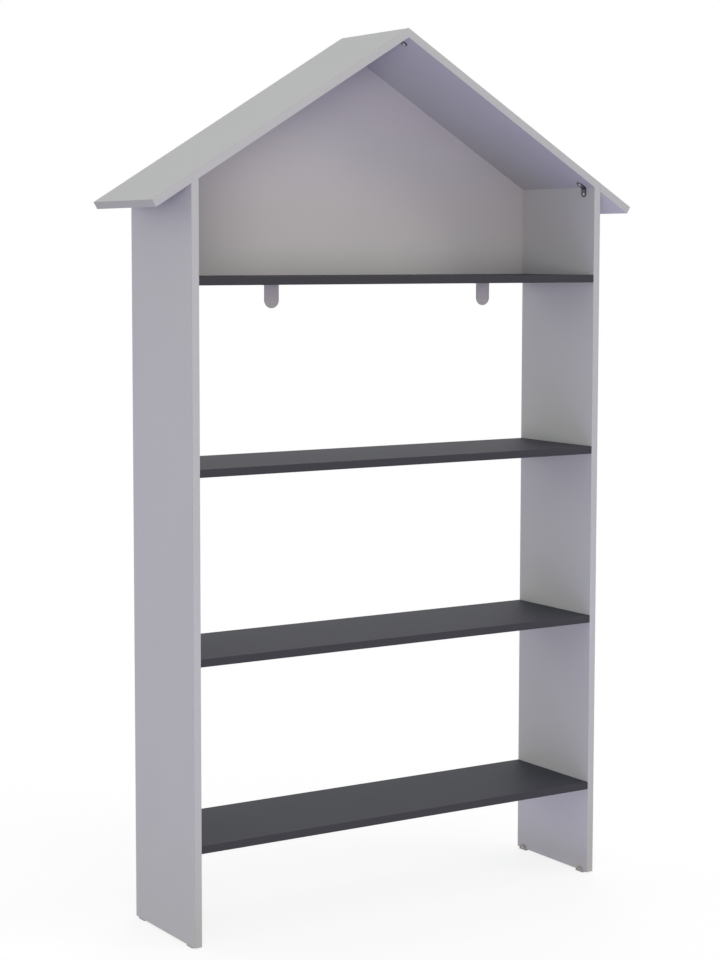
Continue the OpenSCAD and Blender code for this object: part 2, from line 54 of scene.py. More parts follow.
# Everything is in metres, with +Z up, +X to the right and +Y to the rear.
MM = 0.001
TINY = 0.00001
SIDES = ("left", "right")
LEVELS = ("top", "upper", "lower", "bottom")
SIDE_SIGN = {"left": -1, "right": 1}
RIGHT = Vector((1, 0, 0))
REAR = Vector((0, 1, 0))
UP = Vector((0, 0, 1))
X_AXIS = 0
Z_AXIS = 2
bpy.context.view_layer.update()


# Settings

class BookshelfBoards(bpy.types.PropertyGroup):
    """Colours and edges of the boards"""
    pale_color: FloatVectorProperty(
        name="Pale board", description="Melamine of the side and roof panels",
        default=(0.435, 0.430, 0.440), subtype="COLOR", min=0, max=1)
    # Painted shade: the pale bands are set darker than the pale boards, though the real bands match
    # the boards
    pale_band_color: FloatVectorProperty(
        name="Pale band", description="Edge bands of the side and roof panels",
        default=(0.354, 0.349, 0.334), subtype="COLOR", min=0, max=1)
    # The shelf melamine is bluer than the shelf bands: partly a slate tone of its own, partly a
    # painted cool cast of the light that grazes the shelf tops
    dark_color: FloatVectorProperty(
        name="Dark board", description="Melamine of the shelves",
        default=(0.036, 0.037, 0.048), subtype="COLOR", min=0, max=1)
    dark_band_color: FloatVectorProperty(
        name="Dark band", description="Edge bands of the shelves",
        default=(0.032, 0.031, 0.0345), subtype="COLOR", min=0, max=1)
    back_color: FloatVectorProperty(
        name="Back", description="Lacquered face of the gable back",
        default=(0.419, 0.400, 0.403), subtype="COLOR", min=0, max=1)
    fibre_color: FloatVectorProperty(
        name="Fibreboard", description="Raw rear face of the gable back",
        default=(0.235, 0.150, 0.085), subtype="COLOR", min=0, max=1)
    chip_color: FloatVectorProperty(
        name="Chipboard core", description="Wood chips inside the boards",
        default=(0.48, 0.36, 0.23), subtype="COLOR", min=0, max=1)
    edge_radius: FloatProperty(
        name="Edge radius", description="Rounding of the bands' outer edges",
        default=0.5 * MM, unit="LENGTH", min=0.1 * MM, max=0.7 * MM)


class BookshelfFittings(bpy.types.PropertyGroup):
    """Colours and details of the fittings"""
    steel_color: FloatVectorProperty(
        name="Bracket steel", description="Dull grey finish of the bent brackets",
        default=(0.22, 0.21, 0.215), subtype="COLOR", min=0, max=1)
    # Painted shade: the dark tone that the brackets get along their edges, round their screws and in
    # their bends
    painted_shade_color: FloatVectorProperty(
        name="Bracket edges", description="Dark finish along the brackets' edges, holes and bends",
        default=(0.055, 0.052, 0.056), subtype="COLOR", min=0, max=1)
    zinc_color: FloatVectorProperty(
        name="Zinc", description="Screws, cams and bolts",
        default=(0.62, 0.62, 0.63), subtype="COLOR", min=0, max=1)
    nail_color: FloatVectorProperty(
        name="Nails", description="Duller zinc of the nails",
        default=(0.45, 0.44, 0.43), subtype="COLOR", min=0, max=1)
    beech_color: FloatVectorProperty(
        name="Beech", description="Wooden dowels",
        default=(0.62, 0.43, 0.25), subtype="COLOR", min=0, max=1)
    tab_color: FloatVectorProperty(
        name="Tab paint", description="Powder coat of the hanging tabs",
        default=(0.317, 0.297, 0.283), subtype="COLOR", min=0, max=1)
    glide_color: FloatVectorProperty(
        name="Glide plastic", description="Corner glides under the side panels",
        default=(0.325, 0.305, 0.29), subtype="COLOR", min=0, max=1)
    metal_edge: FloatProperty(
        name="Metal edge", description="Rounding of the stamped edges",
        default=0.3 * MM, unit="LENGTH", min=0.05 * MM, max=0.6 * MM)
    glide_edge: FloatProperty(
        name="Glide edge", description="Rounding of the moulded edges",
        default=0.4 * MM, unit="LENGTH", min=0.05 * MM, max=0.6 * MM)


class BookshelfStage(bpy.types.PropertyGroup):
    """Floor, light and camera"""
    floor_color: FloatVectorProperty(
        name="Floor", description="Colour of the floor in the light that it throws back",
        default=(0.20, 0.20, 0.22), subtype="COLOR", min=0, max=1)
    floor_glow: FloatVectorProperty(
        name="Floor glow", description="Cool light that comes up from the wide floor of the studio",
        default=(0.345, 0.305, 0.430), subtype="COLOR", min=0, max=2)
    floor_size: FloatProperty(
        name="Floor size", description="Side of the square floor",
        default=60, unit="LENGTH", min=5)
    sky_color: FloatVectorProperty(
        name="Room light", description="Even light from all round",
        default=(0.56, 0.60, 0.575), subtype="COLOR", min=0, max=2)
    camera_place: FloatVectorProperty(
        name="Camera place", description="Where the camera stands",
        default=(-2.4428, -3.7168, 1.3516), subtype="TRANSLATION")
    camera_heading: FloatProperty(
        name="Camera heading", description="Turn of the camera about the vertical",
        default=math.radians(-32.34), subtype="ANGLE")
    camera_tilt: FloatProperty(
        name="Camera tilt", description="Tilt of the camera above the horizon",
        default=math.radians(-5.03), subtype="ANGLE")
    camera_roll: FloatProperty(
        name="Camera roll", description="Roll of the camera about its line of sight",
        default=math.radians(-0.06), subtype="ANGLE")
    camera_lens: FloatProperty(
        name="Camera lens", description="Focal length on a 36 mm sensor",
        default=80.488, unit="CAMERA")
    camera_shift: FloatVectorProperty(
        name="Camera shift", description="Shift of the frame, as shares of its long side",
        default=(0.0242, -0.03935), size=2)


# Shader helpers

def set_input(socket, value):
    """Links another node's output to an input, or sets the input to a plain value."""
    if isinstance(value, bpy.types.NodeSocket):
        socket.id_data.links.new(value, socket)
    else:
        socket.default_value = value


def fill_inputs(node, **inputs):
    """Sets a node's inputs by name, with _ for a space."""
    for name, value in inputs.items():
        set_input(node.inputs[name.replace("_", " ")], value)


def add_node(tree, kind, **inputs):
    """Adds a shader node with its inputs."""
    made = tree.nodes.new(kind)
    fill_inputs(made, **inputs)
    return made


def add_math(tree, operation, *values):
    """Adds a Math node and returns its output."""
    made = tree.nodes.new("ShaderNodeMath")
    made.operation = operation
    for socket, value in zip(made.inputs, values):
        set_input(socket, value)
    return made.outputs["Value"]


def add_vector_math(tree, operation, *values):
    """Adds a Vector Math node and returns its output, a number for a length or a dot product."""
    made = tree.nodes.new("ShaderNodeVectorMath")
    made.operation = operation
    for socket, value in zip(made.inputs, values):
        set_input(socket, value)
    return made.outputs["Value" if operation in ("LENGTH", "DOT_PRODUCT") else "Vector"]


def add_mix(tree, share, color_a, color_b):
    """Mixes two colours and returns the result."""
    made = tree.nodes.new("ShaderNodeMix")
    made.data_type = "RGBA"
    factor, first, second = made.inputs[0], made.inputs[6], made.inputs[7]
    set_input(factor, share)
    set_input(first, color_a)
    set_input(second, color_b)
    return made.outputs[2]


def mix_shaders(tree, share, first, second):
    """Mixes the outputs of two shaders and returns the result."""
    made = add_node(tree, "ShaderNodeMixShader", Fac=share)
    set_input(made.inputs[1], first)
    set_input(made.inputs[2], second)
    return made.outputs["Shader"]


def shade(color, factor):
    """A colour times a factor, as red, green, blue and alpha."""
    return (*(min(1, channel * factor) for channel in color), 1)


def two_tones(tree, share, color, low, high):
    """A colour that goes from one tone of itself to another, each given as a factor."""
    return add_mix(tree, share, shade(color, low), shade(color, high))


def new_material(name):
    """A material with an empty Principled shader. Returns it, its node tree and its shader."""
    material = bpy.data.materials.new(name)
    material.use_nodes = True
    tree = material.node_tree
    return material, tree, tree.nodes["Principled BSDF"]


def object_coordinates(tree, stretch=(1, 1, 1)):
    """Object coordinates, stretched along each axis."""
    place = add_node(tree, "ShaderNodeTexCoord").outputs["Object"]
    return add_node(tree, "ShaderNodeMapping", Vector=place, Scale=stretch).outputs["Vector"]


def noise(tree, place, scale, detail=2.0, roughness=0.5):
    """A noise pattern from 0 to 1. The scale is in cells per metre."""
    made = add_node(tree, "ShaderNodeTexNoise", Vector=place, Scale=scale, Detail=detail,
                    Roughness=roughness)
    return made.outputs["Fac"]


def map_range(tree, value, low, high, to_low, to_high):
    """Maps a value from one range to another."""
    made = add_node(tree, "ShaderNodeMapRange", Value=value, From_Min=low, From_Max=high,
                    To_Min=to_low, To_Max=to_high)
    return made.outputs["Result"]


# Most of a noise pattern lies between these two values.
NOISE_LOW = 0.3
NOISE_HIGH = 0.7


def vary(tree, pattern, low, high):
    """Spreads a noise pattern over a range."""
    return map_range(tree, pattern, NOISE_LOW, NOISE_HIGH, low, high)


def add_bump(tree, height, distance, strength=1.0, **inputs):
    """A bump whose height is given in metres. It may lie on top of another one's normal."""
    made = add_node(tree, "ShaderNodeBump", Height=height, Distance=distance, Strength=strength,
                    **inputs)
    return made.outputs["Normal"]


def toward(tree, direction):
    """How squarely a face looks along a direction or against it, from 0 to 1.

    Left and right are taken alike, and so are front and rear, and up and down."""
    normal = add_node(tree, "ShaderNodeTexCoord").outputs["Normal"]
    folded = add_vector_math(tree, "ABSOLUTE", normal)
    return add_vector_math(tree, "DOT_PRODUCT", folded, direction)


# Materials

# A face that looks less squarely than this along its board's thickness is a cut edge.
CUT_LIMIT = 0.93
CUT_ROUGHNESS = 0.85

# Chips and dust in cells per metre, the share of the core that is dust, and the chips' flat lie
CHIP_SCALE = 620
DUST_SCALE = 1900
DUST_SHARE = 0.45
CHIP_LIE = (1, 0.55, 1.3)

# How far the roughness of a smooth board or band strays to each side
GLOSS_SPREAD = 0.05

# Shelves show small dark pores, and pale boards hardly any.
PALE_BOARD = {"roughness": 0.5, "specular": 0.3, "mottle": 0.02, "pores": 0.02}
PALE_BAND = {"roughness": 0.5, "specular": 0.3}
DARK_BOARD = {"roughness": 0.6, "specular": 0.18, "mottle": 0.05, "pores": 0.25}
DARK_BAND = {"roughness": 0.45, "specular": 0.17}

# Depth of the gable back's lacquer, from its front face
LACQUER_DEPTH = 0.2 * MM


def chipboard(tree, color):
    """Wood chips of a board's core, coarse ones among fine dust. Returns colour and height."""
    place = object_coordinates(tree, CHIP_LIE)
    chips = add_node(tree, "ShaderNodeTexVoronoi", Vector=place, Scale=CHIP_SCALE, Randomness=1.0)
    dust = add_node(tree, "ShaderNodeTexVoronoi", Vector=place, Scale=DUST_SCALE, Randomness=1.0)
    coarse = add_node(tree, "ShaderNodeSeparateColor", Color=chips.outputs["Color"]).outputs
    fine = add_node(tree, "ShaderNodeSeparateColor", Color=dust.outputs["Color"]).outputs["Red"]
    is_chip = add_math(tree, "GREATER_THAN", coarse["Green"], DUST_SHARE)
    tone = add_mix(tree, is_chip, fine, coarse["Red"])
    mixed = two_tones(tree, tone, color, 0.72, 1.22)
    chip_rim = map_range(tree, chips.outputs["Distance"], 0.5, 0.9, 0, 0.5)
    mixed = add_mix(tree, chip_rim, mixed, shade(color, 0.55))
    return mixed, tone


def board_material(name, color, direction, core_color, roughness, specular, mottle, pores):
    """Melamine on the two faces that look along the direction, and chipboard on the cut edges.

    The mottle is how far the tone strays, and the pores say how dark the specks are."""
    material, tree, shader = new_material(name)
    place = object_coordinates(tree)
    grain = noise(tree, place, 1100, detail=3, roughness=0.6)
    clouds = noise(tree, place, 7)
    specks = noise(tree, place, 420, detail=1)
    tint = two_tones(tree, grain, color, 1 - mottle, 1 + mottle)
    tint = add_mix(tree, vary(tree, clouds, 0, 1), tint, shade(color, 1 + mottle))
    tint = add_mix(tree, map_range(tree, specks, 0.62, 0.72, 0, pores), tint, shade(color, 0.55))
    core, chips = chipboard(tree, core_color)
    cut = add_math(tree, "LESS_THAN", toward(tree, direction), CUT_LIMIT)
    gloss = vary(tree, grain, roughness - GLOSS_SPREAD, roughness + GLOSS_SPREAD)
    cut_gloss = add_math(tree, "MULTIPLY", cut, CUT_ROUGHNESS)
    skin = add_bump(tree, grain, 0.03 * MM)
    fill_inputs(shader, Base_Color=add_mix(tree, cut, tint, core),
                Roughness=add_math(tree, "MAXIMUM", gloss, cut_gloss),
                Normal=add_bump(tree, chips, 0.25 * MM, strength=cut, Normal=skin),
                Specular_IOR_Level=specular)
    return material


def band_material(name, color, roughness, specular):
    """Plastic edge band with the fine print of a calender roll."""
    material, tree, shader = new_material(name)
    place = object_coordinates(tree)
    grain = noise(tree, place, 1500, detail=3, roughness=0.6)
    clouds = noise(tree, place, 12)
    tint = two_tones(tree, grain, color, 0.97, 1.03)
    tint = add_mix(tree, vary(tree, clouds, 0, 0.6), tint, shade(color, 1.02))
    fill_inputs(shader, Base_Color=tint,
                Roughness=vary(tree, grain, roughness - GLOSS_SPREAD, roughness + GLOSS_SPREAD),
                Normal=add_bump(tree, grain, 0.02 * MM), Specular_IOR_Level=specular)
    return material


def back_material(boards):
    """Fibreboard with a lacquered front, and bare pressed fibres on the rear face and the edges."""
    material, tree, shader = new_material("back_board")
    place = object_coordinates(tree)
    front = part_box("gable_back")[0].y
    depth = add_node(tree, "ShaderNodeSeparateXYZ", Vector=place).outputs["Y"]
    raw = add_math(tree, "GREATER_THAN", depth, front + LACQUER_DEPTH)
    grain = noise(tree, place, 900, detail=3, roughness=0.6)
    clouds = noise(tree, place, 9, detail=3)
    fibres = noise(tree, object_coordinates(tree, (1, 1, 0.35)), 1300, detail=4, roughness=0.65)
    lacquer = two_tones(tree, grain, boards.back_color, 0.975, 1.025)
    lacquer_clouds = map_range(tree, clouds, 0.35, 0.7, 0, 0.5)
    lacquer = add_mix(tree, lacquer_clouds, lacquer, shade(boards.back_color, 0.97))
    brown = two_tones(tree, fibres, boards.fibre_color, 0.72, 1.28)
    brown_clouds = map_range(tree, clouds, 0.35, 0.7, 0, 0.4)
    brown = add_mix(tree, brown_clouds, brown, shade(boards.fibre_color, 0.85))
    height = add_mix(tree, raw, grain, fibres)
    fill_inputs(shader, Base_Color=add_mix(tree, raw, lacquer, brown),
                Roughness=map_range(tree, raw, 0, 1, 0.5, 0.75),
                Normal=add_bump(tree, height, 0.05 * MM), Specular_IOR_Level=0.3)
    return material


# Where a bracket's plate gets painted shade: around a screw's middle, along the bend and along the
# edges
DARK_RING = 5.0 * MM
DARK_BEND = 4.5 * MM
DARK_RIM = 1.4 * MM
DARK_BLEND = 1.0 * MM


def bracket_material(name, fittings, bend, screws):
    """Dull grey steel, with painted shade around the screws, in the bend and along the edges."""
    material, tree, shader = new_material(name)
    place = object_coordinates(tree)
    lowest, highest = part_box(name)
    middle = (lowest + highest) / 2
    reach = max((corner.co - bend).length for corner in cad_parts[name].data.vertices)

    def distance(point, axes=(1, 1, 1)):
        """How far the shaded point is from a point, along the given axes only."""
        offset = add_vector_math(tree, "SUBTRACT", place, point)
        return add_vector_math(tree, "LENGTH", add_vector_math(tree, "MULTIPLY", offset, axes))

    def dark_below(value, limit):
        """1 where a distance is under a limit, with a soft border."""
        return map_range(tree, value, limit - DARK_BLEND / 2, limit + DARK_BLEND / 2, 1, 0)

    def dark_above(value, limit):
        """1 where a distance is over a limit, with a soft border."""
        return map_range(tree, value, limit - DARK_BLEND / 2, limit + DARK_BLEND / 2, 0, 1)

    from_bend = distance(bend, (1, 0, 1))
    from_middle = distance(middle, (0, 1, 0))
    # Masks of the painted shade: in the bend, at the plate's outer end, along its sides and round
    # each screw
    marks = [
        dark_below(from_bend, DARK_BEND),
        dark_above(from_bend, reach - DARK_RIM),
        dark_above(from_middle, (highest.y - lowest.y) / 2 - DARK_RIM),
    ]
    marks += [dark_below(distance(screw), DARK_RING) for screw in screws]
    dark = marks[0]
    for mark in marks[1:]:
        dark = add_math(tree, "MAXIMUM", dark, mark)
    patches = noise(tree, place, 260, detail=3, roughness=0.6)
    plain = two_tones(tree, patches, fittings.steel_color, 0.85, 1.15)
    # The painted shade's own tone, mottled like the steel
    painted_shade = two_tones(tree, patches, fittings.painted_shade_color, 0.8, 1.3)
    fill_inputs(shader, Base_Color=add_mix(tree, dark, plain, painted_shade),
                Roughness=vary(tree, patches, 0.38, 0.5),
                Normal=add_bump(tree, noise(tree, place, 2500), 0.01 * MM),
                Metallic=0.5, Specular_IOR_Level=0.3)
    return material


def zinc_material(name, color):
    """Zinc with its cloudy crystals."""
    material, tree, shader = new_material(name)
    clouds = noise(tree, object_coordinates(tree), 700, detail=3, roughness=0.6)
    fill_inputs(shader, Base_Color=two_tones(tree, clouds, color, 0.85, 1.12),
                Roughness=vary(tree, clouds, 0.26, 0.42),
                Normal=add_bump(tree, clouds, 0.01 * MM), Metallic=1.0)
    return material


def beech_material(name, color, stretch):
    """Beech with its short flecks along the grain."""
    material, tree, shader = new_material(name)
    place = object_coordinates(tree, stretch)
    grain = noise(tree, place, 900, detail=4, roughness=0.6)
    flecks = noise(tree, place, 2400, detail=1)
    tint = two_tones(tree, grain, color, 0.8, 1.15)
    tint = add_mix(tree, map_range(tree, flecks, 0.6, 0.7, 0, 0.6), tint, shade(color, 0.55))
    fill_inputs(shader, Base_Color=tint, Roughness=0.65,
                Normal=add_bump(tree, grain, 0.05 * MM))
    return material


def tab_material(color):
    """Grey paint over steel that was brushed along its length."""
    material, tree, shader = new_material("tab_paint")
    strokes = noise(tree, object_coordinates(tree, (1, 1, 0.02)), 700, detail=3, roughness=0.7)
    peel = noise(tree, object_coordinates(tree), 1400)
    fill_inputs(shader, Base_Color=two_tones(tree, vary(tree, strokes, 0, 1), color, 0.93, 1.07),
                Roughness=vary(tree, peel, 0.44, 0.56),
                Normal=add_bump(tree, strokes, 0.03 * MM), Specular_IOR_Level=0.3)
    return material


def glide_material(color):
    """Moulded plastic with a fine matt grain."""
    material, tree, shader = new_material("glide_plastic")
    grain = noise(tree, object_coordinates(tree), 1800)
    fill_inputs(shader, Base_Color=two_tones(tree, grain, color, 0.95, 1.05),
                Roughness=vary(tree, grain, 0.4, 0.52),
                Normal=add_bump(tree, grain, 0.03 * MM), Specular_IOR_Level=0.35)
    return material


# Mesh helpers

# Edges flatter than the first angle look smooth, and those sharper than the second are rounded.
SMOOTH_ANGLE = math.radians(30)
SHARP_ANGLE = math.radians(35)


def add_piece(name, bm, material, slot, *nodes):
    """Makes an object of a finished bmesh, which rides on the frame and stands for the nodes."""
    bmesh.ops.recalc_face_normals(bm, faces=bm.faces)
    mesh = bpy.data.meshes.new(name)
    bm.to_mesh(mesh)
    bm.free()
    mesh.materials.append(material)
    mesh.shade_smooth()
    mesh.set_sharp_from_angle(angle=SMOOTH_ANGLE)
    piece = bpy.data.objects.new(name, mesh)
    bpy.context.scene.collection.objects.link(piece)
    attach(piece, "root")
    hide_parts(*nodes)


def finish_node(name, material):
    """Gives a CAD node its material."""
    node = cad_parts[name]
    node.data.materials.clear()
    node.data.materials.append(material)
    return node


def soften_edges(node, radius):
    """Rounds a CAD node's edges a little with modifiers."""
    weld = node.modifiers.new("Weld", "WELD")
    weld.merge_threshold = TINY
    bevel = node.modifiers.new("Bevel", "BEVEL")
    bevel.width = radius
    bevel.segments = 2
    bevel.limit_method = "ANGLE"
    bevel.angle_limit = SHARP_ANGLE
    bevel.harden_normals = True


def far_corner(node, direction):
    """The corner of a CAD node that lies farthest in a direction."""
    corners = (vertex.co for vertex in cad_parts[node].data.vertices)
    return max(corners, key=direction.dot).copy()


def solid_boxes(node):
    """The lowest and highest corner of each separate solid of a CAD node, in order."""
    bm = bmesh.new()
    bm.from_mesh(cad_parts[node].data)
    bmesh.ops.remove_doubles(bm, verts=bm.verts, dist=TINY / 10)
    waiting = set(bm.verts)
    boxes = []
    while waiting:
        reached = [waiting.pop()]
        for vertex in reached:
            for edge in vertex.link_edges:
                other = edge.other_vert(vertex)
                if other in waiting:
                    waiting.remove(other)
                    reached.append(other)
        spans = [(min(axis), max(axis)) for axis in zip(*(vertex.co for vertex in reached))]
        boxes.append(tuple(Vector(ends) for ends in zip(*spans)))
    bm.free()
    return sorted(boxes, key=lambda ends: tuple(round(value, 5) for value in ends[0]))


def add_block(bm, lowest, highest):
    """Adds a block between two corners and returns its vertices."""
    made = bmesh.ops.create_cube(bm, size=1)["verts"]
    bmesh.ops.scale(bm, vec=highest - lowest, verts=made)
    bmesh.ops.translate(bm, vec=(lowest + highest) / 2, verts=made)
    return made


def add_slab(bm, outline, y0, y1):
    """Adds a plate with an outline of [x, z] points, from y0 to y1, and returns its vertices."""
    start = bm.faces.new([bm.verts.new((x, y0, z)) for x, z in outline])
    made = bmesh.ops.extrude_face_region(bm, geom=[start])["geom"]
    moved = [item for item in made if isinstance(item, bmesh.types.BMVert)]
    bmesh.ops.translate(bm, vec=REAR * (y1 - y0), verts=moved)
    return list(start.verts) + moved


def edges_between(verts, is_wanted):
    """The edges among some vertices that pass a test of their two ends."""
    inside = set(verts)
    found = {edge for vertex in verts for edge in vertex.link_edges
             if edge.other_vert(vertex) in inside}
    wanted = [edge for edge in found if is_wanted(edge.verts[0].co, edge.verts[1].co)]
    return sorted(wanted, key=lambda edge: edge.index)


def round_edges(bm, edges, radius):
    """Rounds some edges."""
    bmesh.ops.bevel(bm, geom=edges, offset=radius, offset_type="OFFSET", segments=3, profile=0.5,
                    affect="EDGES", material=-1)


# Edge bands

def add_straight_bands(board, bands, length_axis, radius):
    """A bmesh of the front and the rear band of a straight board, with long edges rounded."""
    bm = bmesh.new()
    core_low, core_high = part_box(board)
    low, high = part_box(bands)
    for y0, y1, outer in ((low.y, core_low.y, low.y), (core_high.y, high.y, high.y)):
        verts = add_block(bm, Vector((low.x, y0, low.z)), Vector((high.x, y1, high.z)))
        bm.edges.index_update()

        def is_outer(a, b):
            """Whether an edge runs the length of the band's outer face."""
            on_face = abs(a.y - outer) < TINY and abs(b.y - outer) < TINY
            return on_face and abs((a - b)[length_axis]) > TINY

        round_edges(bm, edges_between(verts, is_outer), radius)
    return bm


def add_roof_bands(side, radius):
    """A bmesh of the front, rear and eave band of a roof panel."""
    bm = bmesh.new()
    sign = SIDE_SIGN[side]
    bands = side + "_roof_bands"
    core_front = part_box(side + "_roof_panel")[0].y
    low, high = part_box(bands)
    band_t = core_front - low.y
    panel_low, panel_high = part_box(side + "_side_panel")
    inner_x, outer_x = sorted((abs(panel_low.x), abs(panel_high.x)))
    seat_z = panel_high.z
    ridge = far_corner(bands, UP)
    eave_top = far_corner(bands, RIGHT * sign)
    eave_low = far_corner(bands, -UP)
    slope = Vector((abs(eave_top.x), eave_top.z - ridge.z))
    run = slope.normalized()
    drop = Vector((abs(eave_low.x) - abs(eave_top.x), eave_low.z - eave_top.z))
    fall = slope.y / slope.x
    under_ridge = ridge.z - drop.length / run.x
    end_top = Vector((abs(eave_top.x), eave_top.z))
    end_low = end_top + drop

    # The outline of a right-hand panel seen from the front, from the ridge round to the eave
    outline = [
        Vector((0, ridge.z)), Vector((0, under_ridge)), Vector((inner_x, seat_z)),
        Vector((outer_x, seat_z)), Vector((outer_x, under_ridge + outer_x * fall)),
        end_low, end_top,
    ]
    # The mitre and the two faces of the notch meet other boards and keep their sharp edges.
    joined = [(0, 1), (2, 3), (3, 4)]
    first_of_eave = len(outline) - 2
    mirrored = [Vector((sign * point.x, point.y)) for point in outline]

    def spot(co):
        """The index of the outline's point at a vertex."""
        flat = Vector((co.x, co.z))
        return min(range(len(mirrored)), key=lambda i: (flat - mirrored[i]).length)

    for y0, y1, outer in ((low.y, low.y + band_t, low.y), (high.y - band_t, high.y, high.y)):
        verts = add_slab(bm, mirrored, y0, y1)
        bm.edges.index_update()

        def is_outer(a, b):
            """Whether an edge lies on the outer face, or runs along a corner of the eave."""
            ends = tuple(sorted((spot(a), spot(b))))
            if ends[0] == ends[1]:
                return ends[0] >= first_of_eave
            return abs(a.y - outer) < TINY and abs(b.y - outer) < TINY and ends not in joined

        round_edges(bm, edges_between(verts, is_outer), radius)

    strip = [end_top - run * band_t, end_low - run * band_t, end_low, end_top]
    strip = [(sign * point.x, point.y) for point in strip]
    verts = add_slab(bm, strip, low.y + band_t, high.y - band_t)
    bm.edges.index_update()

    def is_end(a, b):
        """Whether an edge runs along the upper or lower corner of the eave."""
        flat = Vector((abs(a.x), a.z))
        at_corner = min((flat - corner).length for corner in (end_top, end_low)) < TINY
        return abs(a.y - b.y) > TINY and at_corner

    round_edges(bm, edges_between(verts, is_end), radius)
    return bm


# Operators

class BOOKSHELF_OT_side_panels(bpy.types.Operator):
    """Finishes the side panels and makes their edge bands"""
    bl_idname = "bookshelf.side_panels"
    bl_label = "Side panels"

    def execute(self, context):
        boards = context.scene.bookshelf_boards
        melamine = board_material("pale_side_board", boards.pale_color, RIGHT, boards.chip_color,
                                  **PALE_BOARD)
        band = band_material("pale_side_band", boards.pale_band_color, **PALE_BAND)
        for side in SIDES:
            panel = side + "_side_panel"
            bands = side + "_side_bands"
            finish_node(panel, melamine)
            bm = add_straight_bands(panel, bands, Z_AXIS, boards.edge_radius)
            add_piece(side + "_side_edge_bands", bm, band, "pale_band", bands)
        return {"FINISHED"}


class BOOKSHELF_OT_roof_panels(bpy.types.Operator):
    """Finishes the roof panels and makes their edge bands"""
    bl_idname = "bookshelf.roof_panels"
    bl_label = "Roof panels"

    def execute(self, context):
        boards = context.scene.bookshelf_boards
        eave = far_corner("right_roof_bands", RIGHT)
        ridge = far_corner("right_roof_bands", UP)
        square_to_slope = Vector((ridge.z - eave.z, 0, eave.x - ridge.x)).normalized()
        melamine = board_material("pale_roof_board", boards.pale_color, square_to_slope,
                                  boards.chip_color, **PALE_BOARD)
        band = band_material("pale_roof_band", boards.pale_band_color, **PALE_BAND)
        for side in SIDES:
            finish_node(side + "_roof_panel", melamine)
            bm = add_roof_bands(side, boards.edge_radius)
            add_piece(side + "_roof_edge_bands", bm, band, "pale_band", side + "_roof_bands")
        return {"FINISHED"}


class BOOKSHELF_OT_shelves(bpy.types.Operator):
    """Finishes the four shelves and makes their edge bands"""
    bl_idname = "bookshelf.shelves"
    bl_label = "Shelves"

    def execute(self, context):
        boards = context.scene.bookshelf_boards
        melamine = board_material("dark_shelf_board", boards.dark_color, UP, boards.chip_color,
                                  **DARK_BOARD)
        band = band_material("dark_shelf_band", boards.dark_band_color, **DARK_BAND)
        for level in LEVELS:
            shelf = level + "_shelf"
            bands = level + "_shelf_bands"
            finish_node(shelf, melamine)
            bm = add_straight_bands(shelf, bands, X_AXIS, boards.edge_radius)
            add_piece(level + "_shelf_edge_bands", bm, band, "dark_band", bands)
        return {"FINISHED"}


class BOOKSHELF_OT_gable_back(bpy.types.Operator):
    """Finishes the thin back of the gable compartment and its nails"""
    bl_idname = "bookshelf.gable_back"
    bl_label = "Gable back"

    def execute(self, context):
        finish_node("gable_back", back_material(context.scene.bookshelf_boards))
        nails = zinc_material("dull_zinc", context.scene.bookshelf_fittings.nail_color)
        finish_node("gable_back_nails", nails)
        return {"FINISHED"}


# The brackets, each with the direction in which its bend points
BRACKETS = {
    "left_corner_bracket": (-1, 0, 1),
    "right_corner_bracket": (1, 0, 1),
    "ridge_bracket": (0, 0, 1),
}

# How the beech's grain is stretched along dowels that lie across the width, and upright ones
GRAIN_ACROSS = (0.15, 1, 1)
GRAIN_UPRIGHT = (1, 1, 0.15)


class BOOKSHELF_OT_fittings(bpy.types.Operator):
    """Finishes the cam fittings, brackets, screws, tabs and glides"""
    bl_idname = "bookshelf.fittings"
    bl_label = "Fittings"

    def execute(self, context):
        fittings = context.scene.bookshelf_fittings
        zinc = zinc_material("bright_zinc", fittings.zinc_color)
        beech = beech_material("beech_across", fittings.beech_color, GRAIN_ACROSS)
        beech_upright = beech_material("beech_upright", fittings.beech_color, GRAIN_UPRIGHT)
        paint = tab_material(fittings.tab_color)
        plastic = glide_material(fittings.glide_color)
        for level in LEVELS:
            finish_node(level + "_shelf_cams", zinc)
            finish_node(level + "_shelf_cam_bolts", zinc)
            finish_node(level + "_shelf_dowels", beech)
        finish_node("ridge_dowels", beech)
        finish_node("roof_seat_dowels", beech_upright)
        screws = [(low + high) / 2 for low, high in solid_boxes("bracket_screws")]
        for name, direction in BRACKETS.items():
            middle = sum(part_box(name), Vector()) / 2
            screws.sort(key=lambda screw: (screw - middle).length)
            own_screws = screws[:2]
            bend = far_corner(name, Vector(direction))
            steel = bracket_material(name, fittings, bend, own_screws)
            soften_edges(finish_node(name, steel), fittings.metal_edge)
        finish_node("bracket_screws", zinc)
        finish_node("hanging_tab_screws", zinc)
        finish_node("glide_nails", bpy.data.materials["dull_zinc"])
        for side in SIDES:
            tab = finish_node(side + "_hanging_tab", paint)
            soften_edges(tab, fittings.metal_edge)
            for end in ("front", "rear"):
                glide = finish_node(end + "_" + side + "_glide", plastic)
                soften_edges(glide, fittings.glide_edge)
        return {"FINISHED"}


